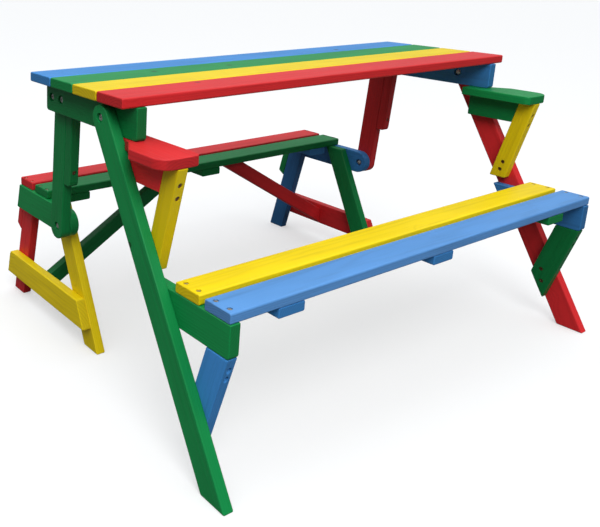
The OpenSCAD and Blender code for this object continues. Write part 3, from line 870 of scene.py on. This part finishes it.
def middle_of(points):
    """The middle of a fastener that lies along X, and +1 or -1 for the side of the object it is on."""
    centre = (points.min(axis=0) + points.max(axis=0)) / 2.0
    return centre, math.copysign(1.0, centre[0])


def screw(points, settings):
    """A screw with a cross in its head where the CAD has this one."""
    arm, waist = 2.1 * MM, 0.75 * MM
    top, direction, length = axis_of(points)
    shape = turned(screw_rows(settings, length), cross(arm, waist), settings.turns)
    return placed(shape, direction, top)


def bolt(points, settings):
    """A button head bolt where the CAD has this one, its head bearing at the same place."""
    # Points farther from the axis than this share of the shank's diameter belong to the head
    head_from = 0.75
    centre, outward = middle_of(points)
    aside = np.hypot(points[:, 1] - centre[1], points[:, 2] - centre[2])
    bearing = np.abs(points[aside > settings.bolt_shank * head_from, 0]).min()
    end = np.abs(points[:, 0]).min()
    shape = turned(bolt_rows(settings, bearing - end), hexagon(settings.hexagon), settings.turns)
    return placed(shape, (outward, 0.0, 0.0), np.array((outward * bearing, centre[1], centre[2])))


def nut(points, settings):
    """A lock nut where the CAD has this one, with its collar inwards."""
    centre, outward = middle_of(points)
    bearing = np.abs(points[:, 0]).max()
    thickness = points[:, 0].max() - points[:, 0].min()
    shape = turned(nut_rows(settings, thickness), hexagon(settings.nut_width), settings.turns)
    return placed(shape, (-outward, 0.0, 0.0), np.array((outward * bearing, centre[1], centre[2])))


def make_piece(name, node, make, settings, material):
    """One object with a turned shape for each solid of a CAD node. It stands for the node."""
    points, faces, count = [], [], 0
    for solid in separate_parts(node):
        shape_points, shape_faces = make(solid, settings)
        points.append(shape_points)
        faces.append(shape_faces + count)
        count += len(shape_points)
    mesh = bpy.data.meshes.new(name)
    mesh.from_pydata(np.concatenate(points), [], np.concatenate(faces).tolist())
    piece = new_object(name, mesh)
    mesh.materials.append(material)
    weld = piece.modifiers.new("Close", "WELD")
    weld.merge_threshold = 3.0 * SAME
    mesh.polygons.foreach_set("use_smooth", np.ones(len(mesh.polygons), dtype=bool))
    mesh.set_sharp_from_angle(angle=CREASE)
    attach(piece, BODY_OF[node])
    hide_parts(node)


# For the end of a CAD node's name: the end of the piece's name, and the function that makes its shapes
FASTENERS = {
    "_screws": ("_cross_screws", screw),
    "_bolts": ("_button_bolts", bolt),
    "_nuts": ("_lock_nuts", nut),
}


# Operators

class PICNIC_OT_boards(bpy.types.Operator):
    """Stain every board and break its edges"""

    bl_idname = "picnic.boards"
    bl_label = "Stained Boards"

    def execute(self, context):
        group = softwood_group()
        settings = context.scene.picnic_stain
        boards = [name for name in sorted(frame["nodes"]) if SLOT_OF[name] != FASTENER_SLOT]
        for seed, name in enumerate(boards):
            finish_board(name, seed, group, settings)
        return {"FINISHED"}


class PICNIC_OT_fasteners(bpy.types.Operator):
    """Put in the bolts, nuts and screws"""

    bl_idname = "picnic.fasteners"
    bl_label = "Bolts and Screws"

    def execute(self, context):
        settings = context.scene.picnic_fasteners
        relief = 0.02 * MM
        plating = plating_group()
        zinc, dark, bright = (
            surface(name, plating, {"Metal": tuple(metal) + (1.0,)}, relief, metallic=1.0)
            for name, metal in (
                ("Zinc plated steel", settings.zinc),
                ("Dark screws", settings.bronze),
                ("Bright screws", settings.brass),
            ))
        for node in sorted(name for name in frame["nodes"] if SLOT_OF[name] == FASTENER_SLOT):
            ending = "_" + node.split("_")[-1]
            piece_ending, make = FASTENERS[ending]
            screw_metal = bright if "seat" in node else dark
            metal = screw_metal if make is screw else zinc
            make_piece(node.replace(ending, piece_ending), node, make, settings, metal)
        return {"FINISHED"}


class PICNIC_OT_studio(bpy.types.Operator):
    """Lay the floor and set up the lights and the camera"""

    bl_idname = "picnic.studio"
    bl_label = "Studio"

    def execute(self, context):
        settings = context.scene.picnic_studio
        self.lay_floor(settings)
        self.hang_lights(context, settings)
        self.place_camera(context, settings)
        return {"FINISHED"}

    @staticmethod
    def lay_floor(settings):
        """A round floor, its points on rings about the middle, from the outside in.

        It is brighter to the camera than to the table, which it lights from below.
        """
        rings, steps, inner_ring = 12, 64, 0.5
        gap_below_feet = 0.2 * MM
        rows = [(0.0, radius, 0.0) for radius in np.geomspace(settings.floor_radius, inner_ring, rings)]
        points, quads = turned(rows, np.zeros_like, steps)
        middle = list(range(len(points) - steps, len(points)))
        mesh = bpy.data.meshes.new("floor")
        mesh.from_pydata(points, [], quads.tolist() + [middle])
        floor = new_object("floor", mesh)
        floor.location.z = -gap_below_feet
        material = bpy.data.materials.new("Pale floor")
        material.use_nodes = True
        w = Wiring(material.node_tree)
        shader = material.node_tree.nodes["Principled BSDF"]
        seen = material.node_tree.nodes.new("ShaderNodeLightPath").outputs["Is Camera Ray"]
        dim = (settings.shade, settings.shade, settings.shade, 1.0)
        w.link(w.mix(seen, dim, tuple(settings.floor) + (1.0,)), shader.inputs["Base Color"])
        w.link(w.math("MULTIPLY", seen, settings.glow), shader.inputs["Emission Strength"])
        shader.inputs["Emission Color"].default_value = (1.0, 1.0, 1.0, 1.0)
        shader.inputs["Roughness"].default_value = 0.9
        shader.inputs["Specular IOR Level"].default_value = 0.1
        mesh.materials.append(material)

    @staticmethod
    def hang_lights(context, settings):
        """A sky that is bright overhead, a pale wall far behind, and a large light at the front left.

        The camera sees all of the sky as white.
        """
        world = bpy.data.worlds.new("Pale sky")
        context.scene.world = world
        world.use_nodes = True
        tree = world.node_tree
        w = Wiring(tree)
        # Directions by the sine of their height, and the side of the wall by the cosine to its middle
        sky_low, sky_high = 0.15, 0.9
        wall_top, wall_foot = 0.38, 0.05
        wall_side, wall_end, wall_middle = (0.53, 0.85, 0.0), 0.3, 0.8
        sky_colour, white = (0.94, 0.97, 1.0, 1.0), (1.0, 1.0, 1.0, 1.0)
        direction = tree.nodes.new("ShaderNodeTexCoord").outputs["Generated"]
        split = tree.nodes.new("ShaderNodeSeparateXYZ")
        w.link(direction, split.inputs[0])
        above = w.ramp(split.outputs[2], sky_low, sky_high, 0.0, settings.zenith)
        behind = w.ramp(w.vector("DOT_PRODUCT", direction, wall_side), wall_end, wall_middle)
        wall = w.ramp(split.outputs[2], wall_top, wall_foot, 0.0, settings.backdrop)
        wall = w.math("MULTIPLY", behind, wall)
        strength = w.math("ADD", above, wall)
        seen = tree.nodes.new("ShaderNodeLightPath").outputs["Is Camera Ray"]
        sky = tree.nodes["Background"]
        w.link(w.mix(seen, sky_colour, white), sky.inputs["Color"])
        missing = w.math("SUBTRACT", 1.0, strength)
        w.link(w.math("MULTIPLY_ADD", seen, missing, strength), sky.inputs["Strength"])
        light = bpy.data.lights.new("key", "AREA")
        light.energy = settings.key
        light.shape = "DISK"
        light.size = settings.key_size
        lamp = new_object("key", light)
        lamp.location = settings.key_place
        middle_height = 0.3
        aim = Vector((0.0, 0.0, middle_height)) - lamp.location
        lamp.rotation_euler = aim.to_track_quat("-Z", "Y").to_euler()

    @staticmethod
    def place_camera(context, settings):
        """The camera of the photograph, which is a crop: its axis lies left of and above the middle."""
        camera = bpy.data.cameras.new("camera")
        camera.sensor_fit = "HORIZONTAL"
        camera.sensor_width = 36.0
        width = settings.picture_width
        camera.lens = settings.focal / width * camera.sensor_width
        camera.shift_x = 0.5 - settings.axis_x / width
        camera.shift_y = (settings.axis_y - settings.picture_height / 2.0) / width
        camera.clip_start = 0.05
        camera.clip_end = 200.0
        eye = new_object("camera", camera)
        azimuth, elevation = settings.camera_azimuth, settings.camera_elevation
        level = math.cos(elevation)
        ahead = Vector((-math.sin(azimuth) * level, math.cos(azimuth) * level, -math.sin(elevation)))
        roll = Matrix.Rotation(settings.camera_roll, 4, "Z")
        eye.matrix_world = (Matrix.Translation(settings.camera_place)
                            @ ahead.to_track_quat("-Z", "Y").to_matrix().to_4x4() @ roll)
        context.scene.camera = eye
        context.scene.view_settings.view_transform = "Standard"
        context.scene.view_settings.look = "None"


class PICNIC_PT_panel(bpy.types.Panel):
    """Buttons and settings of the picnic table"""

    bl_idname = "PICNIC_PT_panel"
    bl_label = "Picnic Table"
    bl_space_type = "VIEW_3D"
    bl_region_type = "UI"
    bl_category = "Picnic Table"

    def draw(self, context):
        for operator, group in STEPS:
            box = self.layout.box()
            box.operator(operator)
            settings = getattr(context.scene, group)
            for label in settings.__annotations__:
                box.prop(settings, label)


STEPS = (
    ("picnic.boards", "picnic_stain"),
    ("picnic.fasteners", "picnic_fasteners"),
    ("picnic.studio", "picnic_studio"),
)
GROUPS = (
    ("picnic_stain", StainSettings),
    ("picnic_fasteners", FastenerSettings),
    ("picnic_studio", StudioSettings),
)
CLASSES = (PICNIC_OT_boards, PICNIC_OT_fasteners, PICNIC_OT_studio, PICNIC_PT_panel)


def register():
    for name, group in GROUPS:
        bpy.utils.register_class(group)
        setattr(bpy.types.Scene, name, PointerProperty(type=group))
    for item in CLASSES:
        bpy.utils.register_class(item)


def unregister():
    for item in reversed(CLASSES):
        bpy.utils.unregister_class(item)
    for name, group in reversed(GROUPS):
        delattr(bpy.types.Scene, name)
        bpy.utils.unregister_class(group)


def main():
    """Builds the dressed table in its studio."""
    register()
    bpy.ops.picnic.boards()
    bpy.ops.picnic.fasteners()
    bpy.ops.picnic.studio()


if __name__ == "__main__":
    main()
